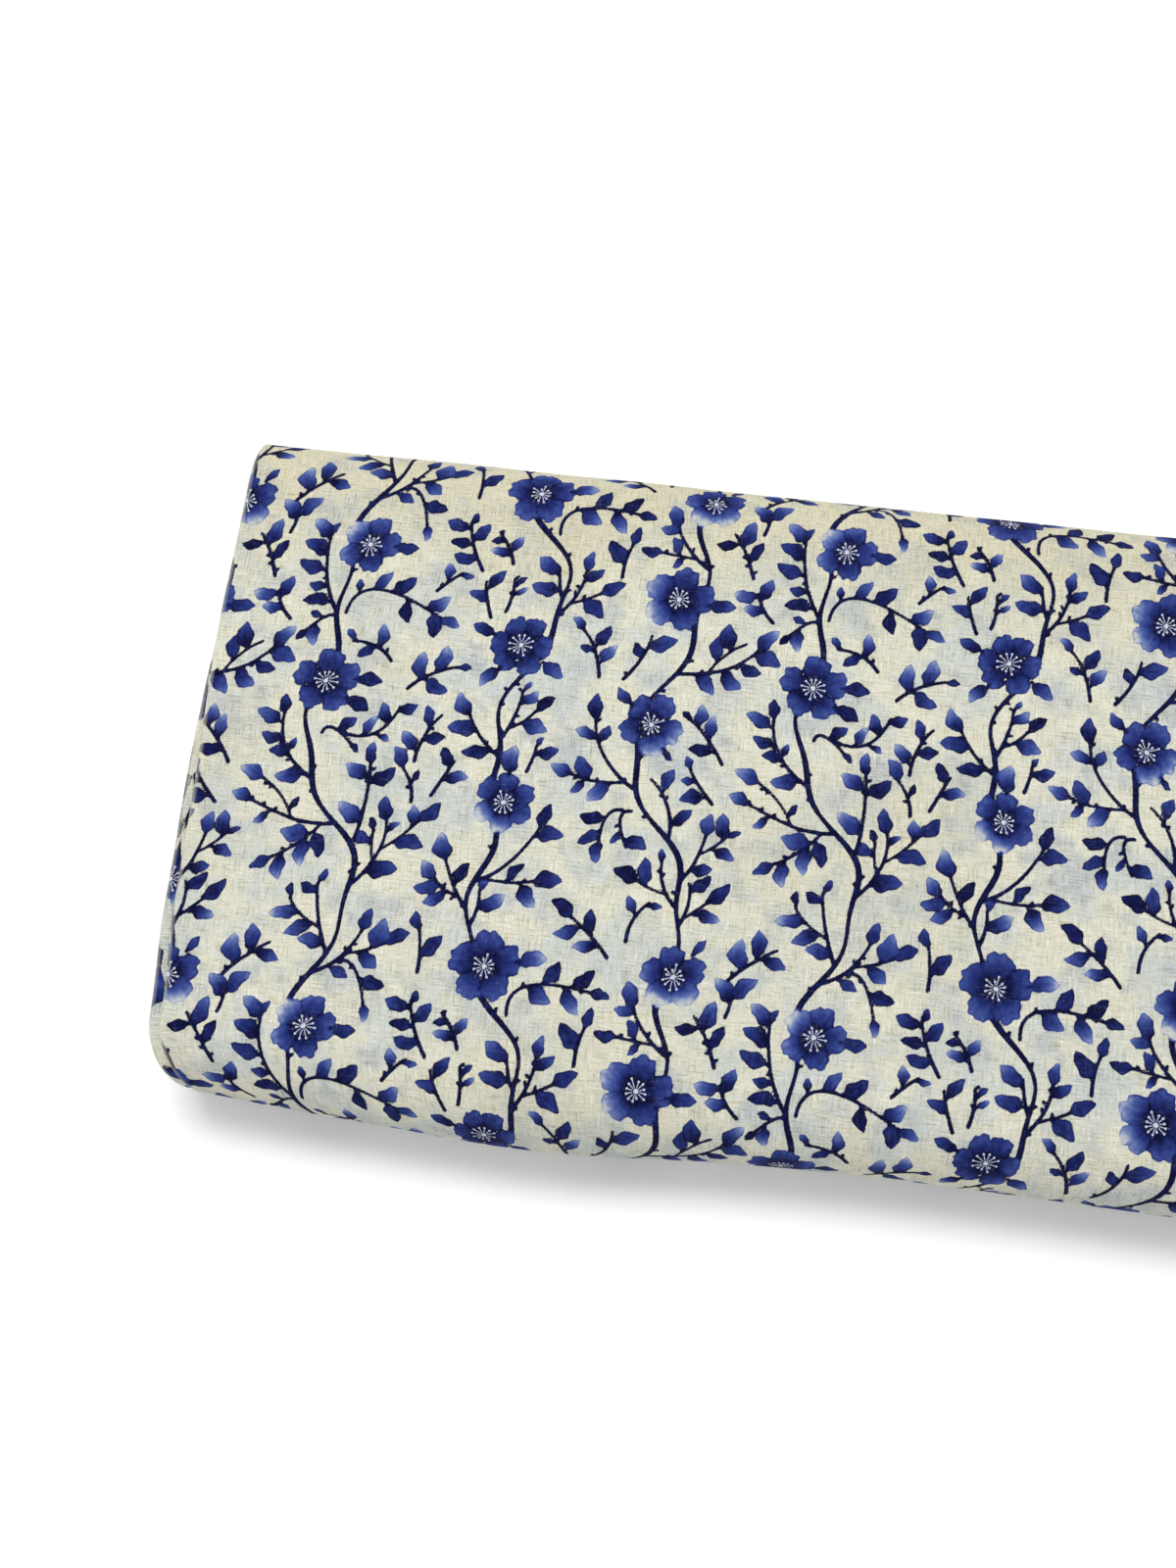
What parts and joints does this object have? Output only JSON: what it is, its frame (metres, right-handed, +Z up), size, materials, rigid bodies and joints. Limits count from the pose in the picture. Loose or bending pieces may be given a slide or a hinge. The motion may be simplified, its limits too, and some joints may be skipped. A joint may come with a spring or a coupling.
{
  "type": "fabric bolt",
  "caption": "Bolt of printed cloth, folded lengthways and wound flat on a hollow corrugated board that slides out, with a loose end that lifts.",
  "frame": {"origin": "under the middle of the bolt's box, on the surface it lies on", "axes": "+X along the bolt towards the labelled end, +Y across it towards the side with the loose end, +Z up out of the broad face"},
  "size_m": [0.56, 0.234, 0.052],
  "materials": {
    "printed_cloth": "matt linen weave, ecru with a blue floral print",
    "corrugated_board": "kraft liner, matt",
    "label_paper": "smooth matt paper, blank",
    "paper_tape": "creped paper tape"
  },
  "bodies": {
    "roll": {"wound_cloth": "printed_cloth"},
    "tail": {"cloth_tail": "printed_cloth", "tape_tab_left": "paper_tape", "tape_tab_right": "paper_tape"},
    "board": {"board_shell": "corrugated_board", "core_channel_near": "corrugated_board", "core_channel_far": "corrugated_board"},
    "left_flap": {"end_flap_left": "corrugated_board"},
    "right_flap": {"end_flap_right": "corrugated_board", "end_label": "label_paper"}
  },
  "joints": [
    {"name": "tail_lift", "type": "hinge", "parent": "roll", "child": "tail", "pos_m": [0, 0.0904, 0.052], "axis": [1, 0, 0], "range_deg": [0, 100]},
    {"name": "board_slide", "type": "slide", "parent": "roll", "child": "board", "axis": [1, 0, 0], "range_m": [-0.56, 0.56]},
    {"name": "left_flap_fold", "type": "hinge", "parent": "board", "child": "left_flap", "pos_m": [-0.275, -0.0006, 0.0367], "axis": [0, 1, 0], "range_deg": [0, 90]},
    {"name": "right_flap_fold", "type": "hinge", "parent": "board", "child": "right_flap", "pos_m": [0.275, -0.0006, 0.0367], "axis": [0, -1, 0], "range_deg": [0, 90]}
  ]
}
